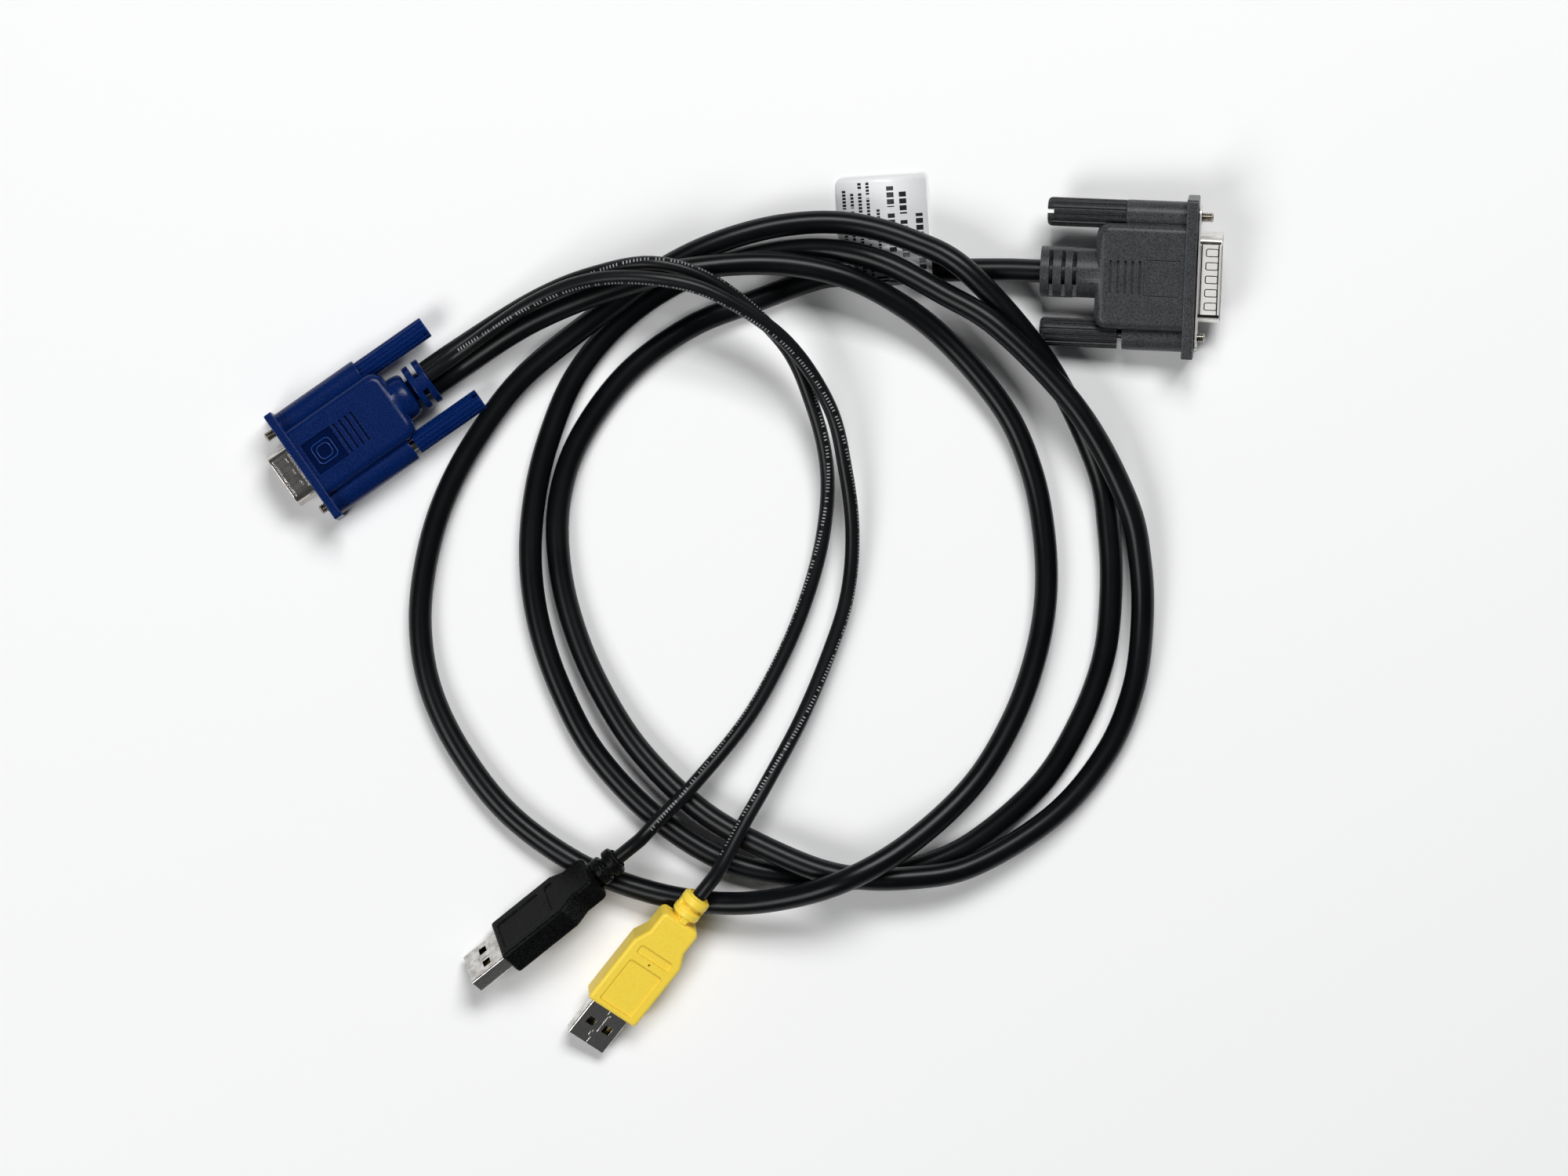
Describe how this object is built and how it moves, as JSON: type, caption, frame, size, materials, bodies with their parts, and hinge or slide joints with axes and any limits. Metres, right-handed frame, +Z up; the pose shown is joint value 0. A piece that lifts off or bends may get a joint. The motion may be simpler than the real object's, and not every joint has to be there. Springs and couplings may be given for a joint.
{
  "type": "computer switch cable",
  "caption": "Coiled computer switch cable: D plug with thumbscrews and two USB plugs on one side, wider D plug with thumbscrews on the other.",
  "frame": {"origin": "on the table, under the middle of the box round the four plugs", "axes": "+X from the blue plug to the charcoal plug, the longest way; +Z up from the table"},
  "size_m": [0.2644, 0.2436, 0.0282],
  "materials": {
    "blue_plastic": "fine matte texture",
    "charcoal_plastic": "fine matte texture",
    "charcoal_usb_plastic": "satin",
    "yellow_usb_plastic": "satin",
    "nickel_shell": "bright nickel plating",
    "steel_shaft": "satin nickel plating",
    "gold_contact": "gold plated",
    "dark_insulator": "matte",
    "white_insulator": "matte",
    "cable_jacket": "satin",
    "label_film": "glossy film"
  },
  "bodies": {
    "cable_set": {"black_contacts": "gold_contact", "black_front_shell": "nickel_shell", "black_hood": "charcoal_plastic", "black_insulator": "dark_insulator", "blue_contact_01": "gold_contact", "blue_contact_02": "gold_contact", "blue_contact_03": "gold_contact", "blue_contact_04": "gold_contact", "blue_contact_05": "gold_contact", "blue_contact_06": "gold_contact", "blue_contact_07": "gold_contact", "blue_contact_08": "gold_contact", "blue_contact_09": "gold_contact", "blue_contact_10": "gold_contact", "blue_contact_11": "gold_contact", "blue_contact_12": "gold_contact", "blue_contact_13": "gold_contact", "blue_contact_14": "gold_contact", "blue_contact_15": "gold_contact", "blue_front_shell": "nickel_shell", "blue_hood": "blue_plastic", "blue_insulator": "dark_insulator", "flag_label": "label_film", "main_cable": "cable_jacket", "usb_black_cable": "cable_jacket", "usb_black_contact_1": "gold_contact", "usb_black_contact_2": "gold_contact", "usb_black_contact_3": "gold_contact", "usb_black_contact_4": "gold_contact", "usb_black_overmould": "charcoal_usb_plastic", "usb_black_shell": "nickel_shell", "usb_black_tongue": "dark_insulator", "usb_yellow_cable": "cable_jacket", "usb_yellow_contact_1": "gold_contact", "usb_yellow_contact_2": "gold_contact", "usb_yellow_contact_3": "gold_contact", "usb_yellow_contact_4": "gold_contact", "usb_yellow_overmould": "yellow_usb_plastic", "usb_yellow_shell": "nickel_shell", "usb_yellow_tongue": "white_insulator"},
    "blue_screw_a": {"blue_knob_a": "blue_plastic", "blue_shaft_a": "steel_shaft"},
    "blue_screw_b": {"blue_knob_b": "blue_plastic", "blue_shaft_b": "steel_shaft"},
    "black_screw_a": {"black_knob_a": "charcoal_plastic", "black_shaft_a": "steel_shaft"},
    "black_screw_b": {"black_knob_b": "charcoal_plastic", "black_shaft_b": "steel_shaft"}
  },
  "joints": [
    {"name": "blue_screw_a_turn", "type": "hinge", "parent": "cable_set", "child": "blue_screw_a", "pos_m": [-0.12918, 0.05316, 0.00753], "axis": [-0.8191, -0.5735, 0.014], "continuous": true},
    {"name": "blue_screw_b_turn", "type": "hinge", "parent": "cable_set", "child": "blue_screw_b", "pos_m": [-0.11485, 0.03269, 0.00753], "axis": [-0.8191, -0.5735, 0.014], "continuous": true},
    {"name": "black_screw_a_turn", "type": "hinge", "parent": "cable_set", "child": "black_screw_a", "pos_m": [0.12419, 0.07913, 0.0089], "axis": [0.9943, -0.0469, 0.0958], "continuous": true},
    {"name": "black_screw_b_turn", "type": "hinge", "parent": "cable_set", "child": "black_screw_b", "pos_m": [0.12518, 0.11193, 0.01466], "axis": [0.9943, -0.0469, 0.0958], "continuous": true}
  ]
}
